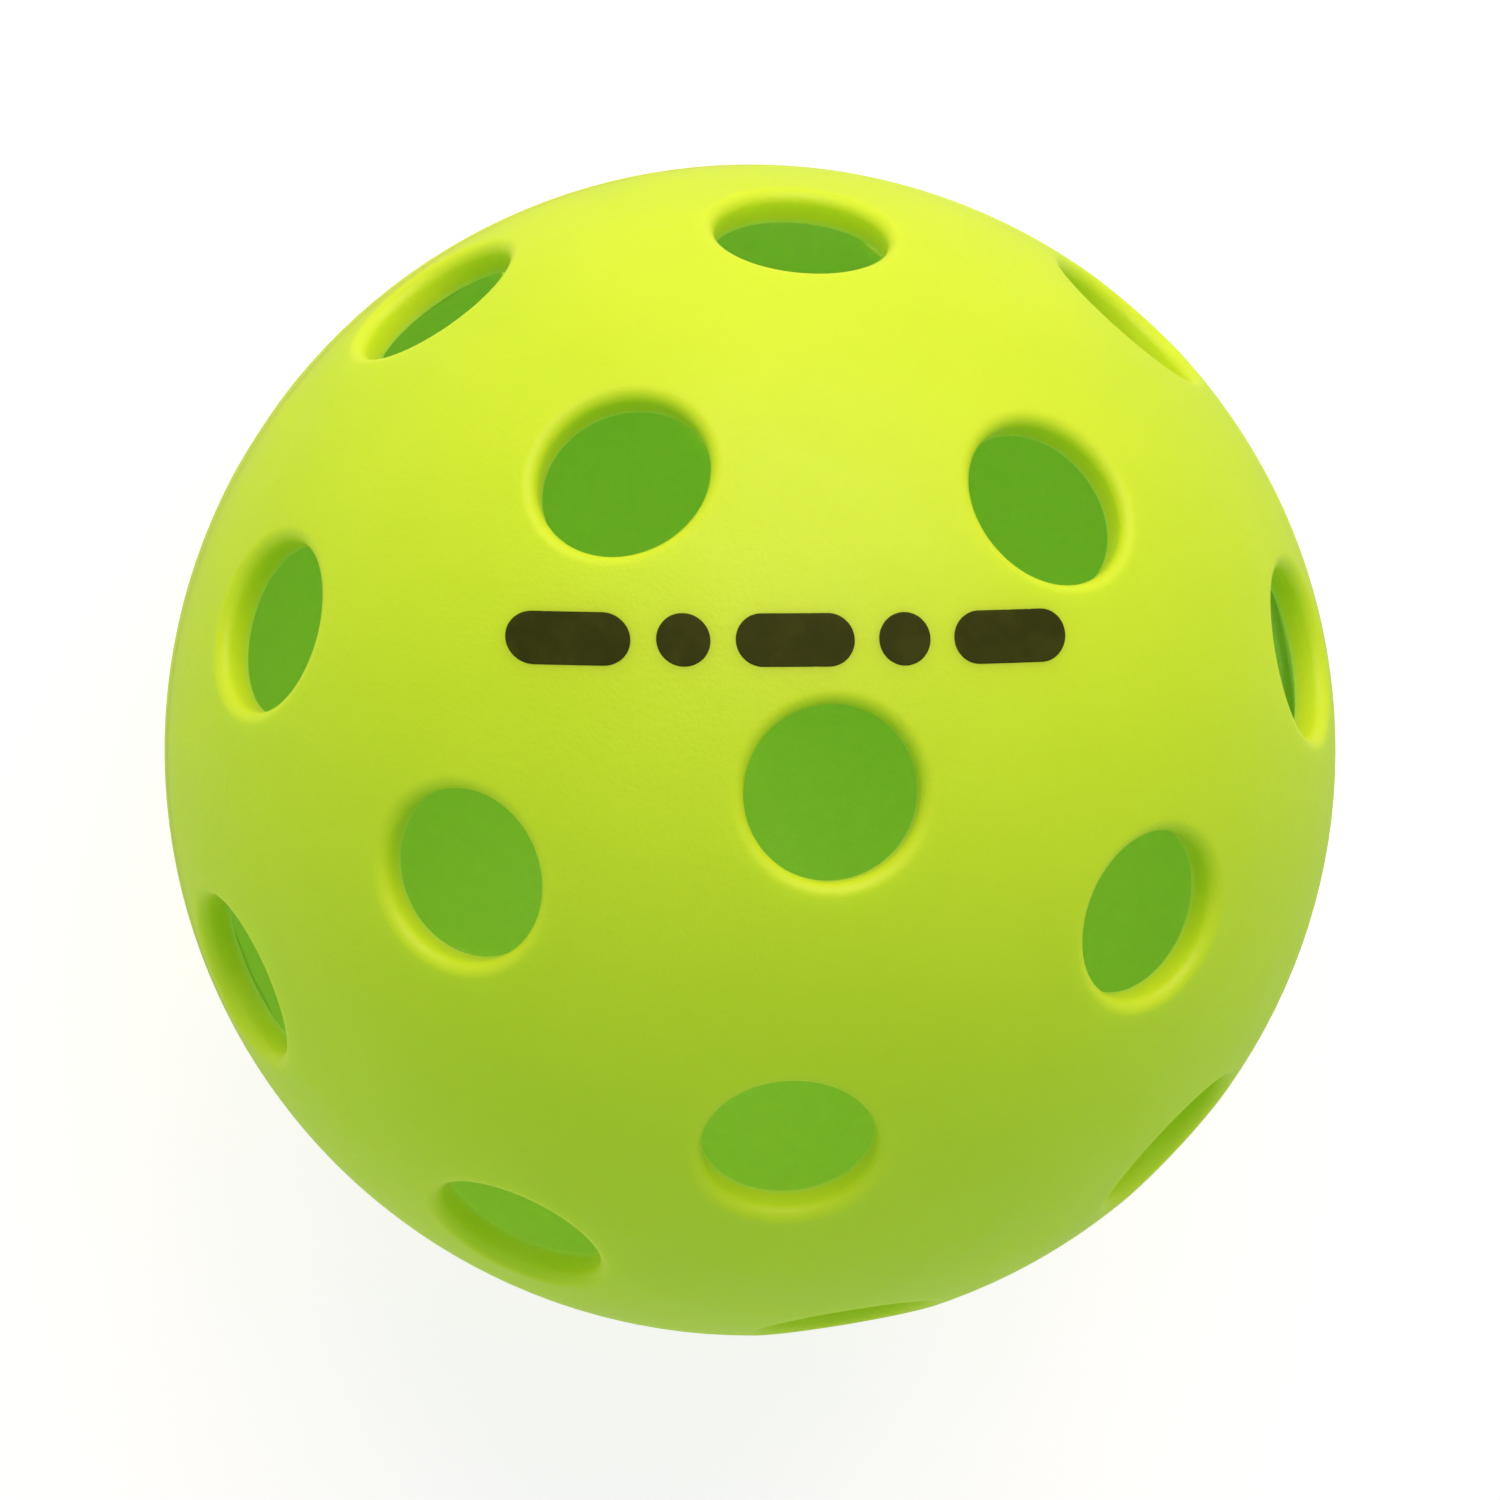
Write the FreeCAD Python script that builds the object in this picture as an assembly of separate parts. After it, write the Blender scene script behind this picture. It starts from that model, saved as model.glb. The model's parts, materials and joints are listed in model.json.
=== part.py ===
"""Perforated court ball: two moulded half shells, butt-welded at the equator.

Millimetres, +Z up. The origin is the ball's centre and +Z is the moulding axis, which
runs through the hole at each pole. The seam between the halves is the plane Z = 0.
"""
import FreeCAD
import Part
import math
import os

from FreeCAD import Rotation, Vector

# driving dimensions
BALL_R = 37.0            # outer radius of the ball
WALL = 2.2               # wall thickness
HOLE_R = 5.4             # radius of every hole's straight wall
LIP_R = 0.8              # rounding of each hole's outer edge

# Each half has a hole at its pole, a ring of five holes, and a ring of nine near the seam.
# Angles are in degrees: polar from the half's own pole, azimuth about it.
UPPER_RINGS = (
    {"count": 5, "polar": 38.0, "start": 50.0, "pitch": 72.0, "wave": 0.0},
    {"count": 9, "polar": 72.0, "start": 12.0, "pitch": 38.0, "wave": 6.0},
)
LOWER_RINGS = (
    {"count": 5, "polar": 41.5, "start": 129.0, "pitch": -68.0, "wave": -4.0},
    {"count": 9, "polar": 74.0, "start": 13.5, "pitch": -40.0, "wave": -2.0},
)

TRAP = 0.6               # flash trap: chamfer on the inner edge of each half's rim
BEAD_BULGE = 0.35        # how far the weld bead stands into the ball
BEAD_HALF_HEIGHT = 1.0   # half the bead's height along the wall

INK = 0.08               # thickness of the printed film
MARK_HEIGHT = 3.2        # height of the band of dashes and dots
MARK_DASH = 7.2          # length of a dash; a dot is as long as it is high
MARK_GAP = 1.5           # gap between neighbouring pieces
MARK_X = -2.2            # centre of the band, beside the upper pole's hole
MARK_Y = 9.3

# derived dimensions
INNER_R = BALL_R - WALL
SPAN_Z = Vector(0, 0, 1)
CENTRE = Vector(0, 0, 0)
# each sphere surface starts and ends on this meridian, which misses every hole
SEAM_AZIMUTH = 29.0


def direction(polar, azimuth):
    """Unit vector at an angle from +Z and an azimuth from +X, both in degrees."""
    p = math.radians(polar)
    a = math.radians(azimuth)
    return Vector(math.sin(p) * math.cos(a), math.sin(p) * math.sin(a), math.cos(p))


def hole_directions(rings):
    """Directions of a half's holes; a ring's holes lie a wave nearer and further in turn."""
    found = [direction(0, 0)]
    for ring in rings:
        for k in range(ring["count"]):
            last_of_odd = k == ring["count"] - 1 and k % 2 == 0
            wave = 0.0 if last_of_odd else ring["wave"] * (-1) ** (k + 1)
            found.append(direction(ring["polar"] + wave, ring["start"] + ring["pitch"] * k))
    return found


def arc(radius, start, end):
    """Arc about the centre in the XZ plane; angles in degrees up from +X."""
    points = []
    for angle in (start, (start + end) / 2, end):
        a = math.radians(angle)
        points.append(Vector(radius * math.cos(a), 0, radius * math.sin(a)))
    return Part.Arc(*points).toShape()


def line(first, last):
    return Part.LineSegment(first, last).toShape()


def spun(edges):
    """Solid made by turning a closed XZ outline once round the Z axis."""
    face = Part.Face(Part.Wire(edges))
    return face.revolve(CENTRE, SPAN_Z, 360)


def blank_half():
    """Plain half shell with a flat rim, and a chamfer on the rim's inner edge."""
    half = Part.makeSphere(BALL_R, CENTRE, SPAN_Z, 0, 90, 360)
    half = half.cut(Part.makeSphere(INNER_R))
    half = half.cut(Part.makeCone(INNER_R + TRAP, INNER_R, TRAP))
    half.rotate(CENTRE, SPAN_Z, SEAM_AZIMUTH)
    return half


def outer_rims(shape, ways):
    """The edges of the holes that lie on the outer sphere."""
    found = []
    for edge in shape.Edges:
        on_rim = True
        for share in (0.1, 0.5, 0.9):
            span = edge.LastParameter - edge.FirstParameter
            point = edge.valueAt(edge.FirstParameter + share * span)
            off_axis = min(point.cross(way).Length for way in ways if point.dot(way) > 0)
            if abs(point.Length - BALL_R) > 0.01 or abs(off_axis - HOLE_R) > 0.01:
                on_rim = False
        if on_rim:
            found.append(edge)
    return found


def half_shell(rings):
    """Upper half with its holes cut and the outer edge of each hole rounded."""
    ways = hole_directions(rings)
    cutters = []
    for way in ways:
        cutters.append(Part.makeCylinder(HOLE_R, 2 * WALL + 4, way * (INNER_R - WALL), way))
    half = blank_half().cut(cutters)
    half = half.makeFillet(LIP_R, outer_rims(half, ways))
    return half.Solids[0]


def turned_over(shape):
    """The part turned half a turn about the X axis, so that it becomes the lower half."""
    shape.rotate(CENTRE, Vector(1, 0, 0), 180)
    return shape


def weld_bead():
    """Re-solidified ring that fills the flash trap and stands a little into the ball."""
    top = math.degrees(math.asin(BEAD_HALF_HEIGHT / INNER_R))
    trap = math.degrees(math.asin(TRAP / INNER_R))
    ends = [direction(90 - top, 0) * INNER_R, direction(90 + top, 0) * INNER_R]
    trap_ends = [direction(90 - trap, 0) * INNER_R, direction(90 + trap, 0) * INNER_R]
    crest = Vector(INNER_R - BEAD_BULGE, 0, 0)
    foot = Vector(INNER_R + TRAP, 0, 0)
    edges = [
        Part.Arc(ends[0], crest, ends[1]).toShape(),
        arc(INNER_R, -top, -trap),
        line(trap_ends[1], foot),
        line(foot, trap_ends[0]),
        arc(INNER_R, trap, top),
    ]
    return spun(edges)


def pill(length, x):
    """Round-ended upright prism of the mark's height, centred at x."""
    half_run = (length - MARK_HEIGHT) / 2
    post = BALL_R + 5
    r = MARK_HEIGHT / 2
    ends = []
    for side in (-1, 1):
        ends.append(Part.makeCylinder(r, post, Vector(x + side * half_run, MARK_Y, 0)))
        if half_run == 0:
            return ends[0]
    block = Part.makeBox(2 * half_run, MARK_HEIGHT, post, Vector(x - half_run, MARK_Y - r, 0))
    return block.fuse(ends).removeSplitter()


def printed_mark():
    """Plain band of dashes and dots printed beside the upper pole's hole."""
    film = Part.makeSphere(BALL_R + INK).cut(Part.makeSphere(BALL_R))
    lengths = [MARK_DASH, MARK_HEIGHT, MARK_DASH, MARK_HEIGHT, MARK_DASH]
    total = sum(lengths) + MARK_GAP * (len(lengths) - 1)
    x = MARK_X - total / 2
    pieces = []
    for length in lengths:
        pieces.append(film.common(pill(length, x + length / 2)).Solids[0])
        x += length + MARK_GAP
    return Part.makeCompound(pieces)


nodes = {
    "upper_half_shell": half_shell(UPPER_RINGS),
    "lower_half_shell": turned_over(half_shell(LOWER_RINGS)),
    "weld_bead": weld_bead(),
    "printed_mark": printed_mark(),
}

os.makedirs("parts", exist_ok=True)
for name, shape in nodes.items():
    shape.exportStep(f"parts/{name}.step")
    box = shape.BoundBox
    print(f"{name}: {len(shape.Solids)} solid(s), valid {shape.isValid()}, "
          f"{shape.Volume:.0f} mm3, z {box.ZMin:.2f} to {box.ZMax:.2f}")
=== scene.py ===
"""Looks of a perforated court ball: two welded half shells, a weld bead and a printed band.

Metres, in the frame's own axes: the ball's centre at the origin, +Z out through a pole's hole.
"""

import json
import math

import bmesh
import bpy
from mathutils import Matrix, Vector


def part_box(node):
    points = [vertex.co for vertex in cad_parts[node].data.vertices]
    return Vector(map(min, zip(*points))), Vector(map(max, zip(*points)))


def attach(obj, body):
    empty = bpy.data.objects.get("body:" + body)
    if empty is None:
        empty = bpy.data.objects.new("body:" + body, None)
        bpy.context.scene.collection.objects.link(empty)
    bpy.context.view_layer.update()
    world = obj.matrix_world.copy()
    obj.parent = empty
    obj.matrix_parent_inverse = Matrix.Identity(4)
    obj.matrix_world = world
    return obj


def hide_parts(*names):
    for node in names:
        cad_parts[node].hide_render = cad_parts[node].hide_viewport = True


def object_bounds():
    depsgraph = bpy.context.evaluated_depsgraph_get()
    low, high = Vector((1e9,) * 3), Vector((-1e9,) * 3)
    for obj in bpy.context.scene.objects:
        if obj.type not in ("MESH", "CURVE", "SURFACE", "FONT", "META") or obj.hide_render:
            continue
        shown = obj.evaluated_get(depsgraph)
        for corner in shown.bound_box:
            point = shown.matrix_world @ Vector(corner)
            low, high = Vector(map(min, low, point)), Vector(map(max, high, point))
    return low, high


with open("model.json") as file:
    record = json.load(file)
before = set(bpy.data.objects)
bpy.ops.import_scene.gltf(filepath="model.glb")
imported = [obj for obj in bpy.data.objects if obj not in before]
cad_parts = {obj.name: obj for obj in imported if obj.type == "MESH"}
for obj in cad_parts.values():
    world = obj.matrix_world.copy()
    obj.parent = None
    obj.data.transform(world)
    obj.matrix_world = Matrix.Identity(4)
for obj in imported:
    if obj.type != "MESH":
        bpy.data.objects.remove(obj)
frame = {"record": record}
cad_low, cad_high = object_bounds()


# ---------------------------------------------------------------- upper half shell
# Half of the ball, injection-moulded in satin polyethylene. Core pins leave fifteen holes in it,
# each with a soft outer edge and a straight wall. The rim is welded to the lower half's, and its
# inner edge is cut back as a trap for the flash.
MM = 0.001
UP = Vector((0, 0, 1))
ball_r = (cad_high.x - cad_low.x) / 2
trap = 0.6 * MM
inner_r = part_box("weld_bead")[1].x - trap
hole_r = next(m["dims"]["r_mm"] for m in frame["record"]["mounts"] if m["kind"] == "bore") * MM
lip_r = 0.8 * MM
burr_r = 0.1 * MM
seam_corner = 0.04 * MM
strip = 0.25 * MM                # width of sphere left to bridge round each turned edge
hole_steps = 120                 # facets round a hole, and round the rim
rim_steps = 480

# a hole at the pole, then rings: count, polar angle, first azimuth, pitch and wave in degrees
UPPER_RINGS = ((5, 38.0, 50.0, 72.0, 0.0), (9, 72.0, 12.0, 38.0, 6.0))


def hole_ways(rings):
    """Unit vectors out through a half's holes; a ring waves nearer and further from the pole."""
    ways = [UP.copy()]
    for count, polar, start, pitch, wave in rings:
        for k in range(count):
            last_of_odd = k == count - 1 and k % 2 == 0
            lean = 0.0 if last_of_odd else wave * (-1) ** (k + 1)
            tilt = math.radians(polar + lean)
            turn = Matrix.Rotation(math.radians(start + pitch * k), 3, "Z")
            ways.append(turn @ Vector((math.sin(tilt), 0, math.cos(tilt))))
    return ways


def arc(centre, radius, first, last, steps):
    """Points (off the axis, along it) of an arc; angles in radians."""
    angles = [first + (last - first) * k / steps for k in range(steps + 1)]
    return [(centre[0] + radius * math.cos(a), centre[1] + radius * math.sin(a)) for a in angles]


def turned(outline, steps, closed=False):
    """Surface made by spinning an outline (off the Z axis, along it) once round the axis."""
    bm = bmesh.new()
    verts = [bm.verts.new((off, 0, along)) for off, along in outline]
    pairs = list(zip(verts, verts[1:])) + ([(verts[-1], verts[0])] if closed else [])
    edges = [bm.edges.new(pair) for pair in pairs]
    bmesh.ops.spin(bm, geom=verts + edges, cent=(0, 0, 0), axis=UP,
                   angle=2 * math.pi, steps=steps, use_merge=True)
    return bm


def add(bm, part, way=UP):
    """Adds a part's copy to a mesh, with the part's Z axis turned to a way."""
    mesh = bpy.data.meshes.new("part")
    part.to_mesh(mesh)
    mesh.transform(UP.rotation_difference(way).to_matrix().to_4x4())
    bm.from_mesh(mesh)
    bpy.data.meshes.remove(mesh)


def skin(radius, ways, mouth, foot):
    """Upper part of a sphere, cut off at a height and at each hole's mouth."""
    bm = bmesh.new()
    bmesh.ops.create_icosphere(bm, subdivisions=6, radius=radius)
    cuts = [(-UP, -foot)] + [(way, math.sqrt(radius ** 2 - mouth ** 2)) for way in ways]
    for way, height in cuts:
        bmesh.ops.bisect_plane(bm, geom=bm.verts[:] + bm.edges[:] + bm.faces[:], dist=1e-7,
                               plane_co=way * height, plane_no=way, clear_outer=True)
    return bm


def half_shell(rings):
    """Closed wall of a half: two skins, a turned edge in each hole, and a turned rim."""
    bm = bmesh.new()
    ways = hole_ways(rings)
    lip = (hole_r + lip_r, math.sqrt((ball_r - lip_r) ** 2 - (hole_r + lip_r) ** 2))
    burr = (hole_r + burr_r, math.sqrt((inner_r + burr_r) ** 2 - (hole_r + burr_r) ** 2))
    outer_mouth = lip[0] * ball_r / (ball_r - lip_r) + strip
    inner_mouth = burr[0] * inner_r / (inner_r + burr_r) + strip
    add(bm, skin(ball_r, ways, outer_mouth, strip))
    add(bm, skin(inner_r, ways, inner_mouth, trap + strip))

    outline = arc(lip, lip_r, math.atan2(lip[1], lip[0]), math.pi, steps=14)
    outline += arc(burr, burr_r, math.pi, math.pi + math.atan2(burr[1], burr[0]), steps=4)
    hole_edge = turned(outline, hole_steps)
    for way in ways:
        add(bm, hole_edge, way)
    rim = arc((ball_r - seam_corner, seam_corner), seam_corner, 0, -math.pi / 2, steps=3)
    rim += [(inner_r + trap, 0), (math.sqrt(inner_r ** 2 - trap ** 2), trap)]
    add(bm, turned(rim, rim_steps))

    # the open edges, gathered by the hole or rim that they go round, and by skin
    rim_top = trap + 1.2 * strip
    gaps = {}
    for edge in bm.edges:
        if edge.is_boundary:
            middle = (edge.verts[0].co + edge.verts[1].co) / 2
            place = max(range(len(ways)), key=lambda k: middle.dot(ways[k]))
            if max(v.co.z for v in edge.verts) < rim_top:
                place = "rim"
            on_outside = middle.length > (ball_r + inner_r) / 2
            gaps.setdefault((place, on_outside), []).append(edge)
    for edges in gaps.values():
        bmesh.ops.bridge_loops(bm, edges=edges)
    return bm


def piece(bm, name):
    """Object from a finished mesh: faces outward, smooth but for its true corners."""
    corner = math.radians(35)
    bmesh.ops.recalc_face_normals(bm, faces=bm.faces)
    for face in bm.faces:
        face.smooth = True
    for edge in bm.edges:
        edge.smooth = edge.calc_face_angle(0) < corner
    mesh = bpy.data.meshes.new(name)
    bm.to_mesh(mesh)
    bm.free()
    made = bpy.data.objects.new(name, mesh)
    bpy.context.scene.collection.objects.link(made)
    return made


class Value:
    """A shader socket, on which sums, products and smooth steps add their nodes."""

    def __init__(self, nodes, output):
        self.nodes, self.output = nodes, output

    def maths(self, operation, other):
        return self.nodes.node("ShaderNodeMath", {"operation": operation}, {0: self, 1: other})

    def __add__(self, other):
        return self.maths("ADD", other)

    def __mul__(self, other):
        return self.maths("MULTIPLY", other)

    __radd__, __rmul__ = __add__, __mul__

    def over(self, low, high):
        """0 at low, 1 at high, smoothly between."""
        return self.nodes.node("ShaderNodeMapRange", {"interpolation_type": "SMOOTHSTEP"},
                               {"Value": self, "From Min": low, "From Max": high})


class Nodes:
    """A node tree, with one method that makes any node."""

    def __init__(self, owner):
        owner.use_nodes = True
        self.tree = owner.node_tree

    def node(self, kind, settings, sockets, result=0):
        """A node's output, from its type, its settings, and its sockets' values or links."""
        made = self.tree.nodes.new(kind)
        for name, value in settings.items():
            setattr(made, name, value)
        for key, value in sockets.items():
            if isinstance(value, Value):
                self.tree.links.new(value.output, made.inputs[key])
            else:
                made.inputs[key].default_value = value
        return Value(self, made.outputs[result])


class Finish(Nodes):
    """A Principled material; constants go on the shader's own sockets, the rest is fed."""

    def __init__(self, name, **constants):
        self.material = bpy.data.materials.new(name)
        super().__init__(self.material)
        self.shader = self.tree.nodes["Principled BSDF"]
        for socket, value in constants.items():
            self.shader.inputs[socket.replace("_", " ")].default_value = value
        self.place = self.node("ShaderNodeTexCoord", {}, {}, "Object")

    def noise(self, scale, detail=2.0, roughness=0.5):
        return self.node("ShaderNodeTexNoise", {}, {
            "Vector": self.place, "Scale": scale, "Detail": detail, "Roughness": roughness})

    def mix(self, share, one, two):
        """A colour between two; a Mix node's colours are its sockets 6 and 7, and its result 2."""
        return self.node("ShaderNodeMix", {"data_type": "RGBA"}, {0: share, 6: one, 7: two}, 2)

    def feed(self, name, value):
        self.tree.links.new(value.output, self.shader.inputs[name])

    def bump(self, height, distance, strength):
        self.feed("Normal", self.node("ShaderNodeBump", {}, {
            "Height": height, "Distance": distance, "Strength": strength}))


# Yellow-lime outside, greener and duller on the raw inner face, which is given a faint green
# painted glow in place of the light that comes through the wall. The fine grain is spark-eroded;
# handling shows in the gloss only.
def shell_plastic():
    # Emission Strength sets the painted glow of the inner face
    finish = Finish("shell_plastic", IOR=1.5, Specular_IOR_Level=0.4, Subsurface_Weight=0.6,
                    Subsurface_Scale=0.003, Subsurface_Radius=(0.7, 1.0, 0.2),
                    Emission_Strength=0.042)
    # 0 on the inner face, 1 on the hole walls and outside
    outward = finish.node("ShaderNodeVectorMath", {"operation": "LENGTH"}, {0: finish.place},
                          "Value").over(inner_r + 0.05 * MM, inner_r + 0.5 * MM)
    mottle = finish.noise(60.0, 3.0, 0.6)
    fleck = finish.noise(900.0, 2.0, 0.6).over(0.3, 0.7)
    outside = finish.mix(mottle.over(0.3, 0.7), (0.575, 0.765, 0.014, 1), (0.60, 0.785, 0.018, 1))
    inside = finish.mix(fleck, (0.472, 0.770, 0.050, 1), (0.486, 0.782, 0.053, 1))
    finish.feed("Base Color", finish.mix(outward, inside, outside))
    # painted light: the inner face glows faintly green, standing in for light through the wall;
    # the outside gets none
    finish.feed("Emission Color", finish.mix(outward, (0.60, 0.92, 0.20, 1), (0, 0, 0, 1)))
    scuff = finish.noise(220.0, 4.0, 0.7).over(0.35, 0.75)
    finish.feed("Roughness", 0.42 + 0.10 * scuff + 0.06 * mottle)
    grain = 0.7 * finish.noise(1400.0, 3.0, 0.65) + 0.3 * finish.noise(3600.0, 1.0)
    finish.bump(grain, 0.00008, 0.6)
    return finish.material


def fit(made, node, material):
    """Gives a piece its material, and puts it in its CAD node's place."""
    made.data.materials.append(material)
    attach(made, "root")
    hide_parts(node)


shell_material = shell_plastic()
fit(piece(half_shell(UPPER_RINGS), "upper_shell"), "upper_half_shell",
    shell_material)


# ---------------------------------------------------------------- lower half shell
# The other half, moulded in the same plastic with its own layout of fifteen holes, and turned
# over about the X axis so that the two rims meet.
LOWER_RINGS = ((5, 41.5, 129.0, -68.0, -4.0), (9, 74.0, 13.5, -40.0, -2.0))

lower = half_shell(LOWER_RINGS)
bmesh.ops.rotate(lower, verts=lower.verts, matrix=Matrix.Rotation(math.pi, 3, "X"))
fit(piece(lower, "lower_shell"), "lower_half_shell", shell_material)


# ---------------------------------------------------------------- weld bead
# Plastic that was squeezed out of the joint into the flash trap and set again as a glossy ring.
# Its crest swells and shrinks a little as it goes round.
bead_half_height = 1.0 * MM
bead_stand = 0.3 * MM


def weld_bead():
    """Closed ring: a rounded crest in the ball, and a root that follows the trap."""
    crest = []
    steps = 5
    for k in range(-steps, steps + 1):
        along = bead_half_height * k / steps
        stand = bead_stand * (1 - (k / steps) ** 2)
        crest.append((math.sqrt(inner_r ** 2 - along ** 2) - stand, along))
    trap_top = math.sqrt(inner_r ** 2 - trap ** 2)
    root = [(trap_top, trap), (inner_r + trap, 0), (trap_top, -trap)]
    bm = turned(crest + root, rim_steps, closed=True)
    for v in bm.verts:
        wall = math.sqrt(inner_r ** 2 - v.co.z ** 2)
        off = math.hypot(v.co.x, v.co.y)
        if off < wall:
            a = math.atan2(v.co.y, v.co.x)
            # two uneven waves round the ring
            swell = 1 + 0.16 * math.sin(23 * a) * math.sin(7 * a + 1) + 0.08 * math.sin(61 * a + 2)
            v.co.xy *= (wall - (wall - off) * swell) / off
    return bm


def weld_plastic():
    finish = Finish("weld_plastic", IOR=1.5)
    cloud = finish.noise(400.0, 3.0, 0.6)
    finish.feed("Base Color", finish.mix(cloud.over(0.3, 0.7),
                                         (0.40, 0.70, 0.022, 1), (0.46, 0.76, 0.028, 1)))
    finish.feed("Roughness", 0.25 + 0.2 * cloud)
    finish.bump(cloud, 0.0001, 0.5)
    return finish.material


fit(piece(weld_bead(), "weld_ring"), "weld_bead", weld_plastic())


# ---------------------------------------------------------------- printed band
# Plain dashes and dots of dark olive pad-printing ink, in place of a maker's print. Each is a
# thin film that follows the ball, sinks in at its edge, and has a fine grain of its own.
band_low, band_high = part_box("printed_mark")
band_height = band_high.y - band_low.y
band_gap = 1.5 * MM
dash = (band_high.x - band_low.x - 2 * band_height - 4 * band_gap) / 3
film = 0.018 * MM
film_sink = 0.2 * film
film_edge = 0.08 * MM
film_depth = 0.05 * MM


def add_pill(bm, centre_x, length):
    """Round-ended film of ink, made from a grid drawn out to the outline and onto the ball."""
    r = band_height / 2
    run = (length - band_height) / 2
    short_of_point = 0.06        # radians: the end rows stop just before they would meet
    reach = run + r * (math.pi / 2 - short_of_point)
    made = bmesh.ops.create_grid(bm, x_segments=48, y_segments=24, size=1.0)["verts"]
    for v in made:
        along = abs(v.co.x) * reach
        turn = max(along - run, 0) / r
        half_height = r * math.cos(turn)
        across = math.sin(v.co.y * math.pi / 2)
        x = centre_x + math.copysign(min(along, run) + r * math.sin(turn), v.co.x)
        y = (band_low.y + band_high.y) / 2 + half_height * across
        inset = min(half_height * (1 - abs(across)), r * (1 - math.sin(turn)))
        rise = ball_r + film * min(inset / film_edge, 1) - film_sink
        v.co = (x, y, math.sqrt(rise ** 2 - x ** 2 - y ** 2))


def printed_band():
    """Dash, dot, dash, dot and dash, each a closed film."""
    bm = bmesh.new()
    x = band_low.x
    for length in (dash, band_height, dash, band_height, dash):
        add_pill(bm, x + length / 2, length)
        x += length + band_gap
    bmesh.ops.solidify(bm, geom=bm.faces[:], thickness=film_depth)
    return bm


def ink():
    finish = Finish("ink", IOR=1.5, Specular_IOR_Level=0.08)
    uneven = finish.noise(500.0, 3.0, 0.6)
    finish.feed("Base Color", finish.mix(uneven.over(0.3, 0.75),
                                         (0.030, 0.034, 0.002, 1), (0.042, 0.047, 0.004, 1)))
    finish.feed("Roughness", 0.5 + 0.2 * uneven)
    finish.bump(finish.noise(2600.0, 2.0, 0.6), 0.00002, 0.5)
    return finish.material


fit(piece(printed_band(), "ink_band"), "printed_mark", ink())


# ---------------------------------------------------------------- floor
# A plain pale sheet under the ball's lowest point. It is partly lit from within, so that it
# stays near white, and it is left out of the ball's gloss.
def floor():
    bm = bmesh.new()
    bmesh.ops.create_grid(bm, x_segments=1, y_segments=1, size=1.6)
    bmesh.ops.translate(bm, verts=bm.verts, vec=(0, 0, cad_low.z))
    sheet = piece(bm, "floor")
    finish = Finish("pale_floor", Roughness=0.7, Base_Color=(0.45, 0.45, 0.45, 1),
                    Emission_Color=(1.0, 0.93, 0.99, 1), Emission_Strength=0.73)
    sheet.data.materials.append(finish.material)
    sheet.visible_glossy = False


floor()


# ---------------------------------------------------------------- light
# Soft studio light: one large warm disk over the +Y side, and an even surround that fills in
# the shade.
def key_light():
    lamp = bpy.data.lights.new("key", "AREA")
    lamp.shape = "DISK"
    lamp.size = 1.0
    lamp.energy = 7.1
    lamp.color = (1.0, 0.70, 0.62)
    toward = Vector((0.06, 0.74, 0.66)).normalized()
    distance = 0.8
    held = bpy.data.objects.new("key", lamp)
    bpy.context.scene.collection.objects.link(held)
    held.location = toward * distance
    held.rotation_mode = "QUATERNION"
    held.rotation_quaternion = (-toward).to_track_quat("-Z", "Y")


def surround():
    """Even light from all round, a little green; seen directly, it is the pale of the floor."""
    world = bpy.data.worlds.new("surround")
    nodes = Nodes(world)
    ray = nodes.node("ShaderNodeLightPath", {}, {}, "Is Camera Ray")
    lighting = nodes.node("ShaderNodeBackground", {},
                          {"Color": (0.71, 1.0, 0.88, 1), "Strength": 0.49})
    seen = nodes.node("ShaderNodeBackground", {}, {"Color": (0.90, 0.92, 0.91, 1)})
    both = nodes.node("ShaderNodeMixShader", {}, {0: ray, 1: lighting, 2: seen})
    nodes.tree.links.new(both.output, nodes.tree.nodes["World Output"].inputs["Surface"])
    bpy.context.scene.world = world


key_light()
surround()
bpy.context.scene.view_settings.view_transform = "Standard"


# ---------------------------------------------------------------- camera
# Long lens, nearly straight down, so that the pole's hole shows a little right of the middle
# and below it.
def camera():
    lens = bpy.data.cameras.new("camera")
    lens.lens = 300
    lens.clip_start = 0.01
    lens.clip_end = 10
    held = bpy.data.objects.new("camera", lens)
    bpy.context.scene.collection.objects.link(held)
    back = Vector((-0.1378, 0.0740, 0.9877)).normalized()
    ball_share = 0.78
    held.location = back * (2 * ball_r / ball_share * lens.lens / lens.sensor_width)
    side = Vector((0, 1, 0)).cross(back).normalized()
    over = back.cross(side)
    held.rotation_mode = "QUATERNION"
    held.rotation_quaternion = Matrix((side, over, back)).transposed().to_quaternion()
    bpy.context.scene.camera = held


camera()
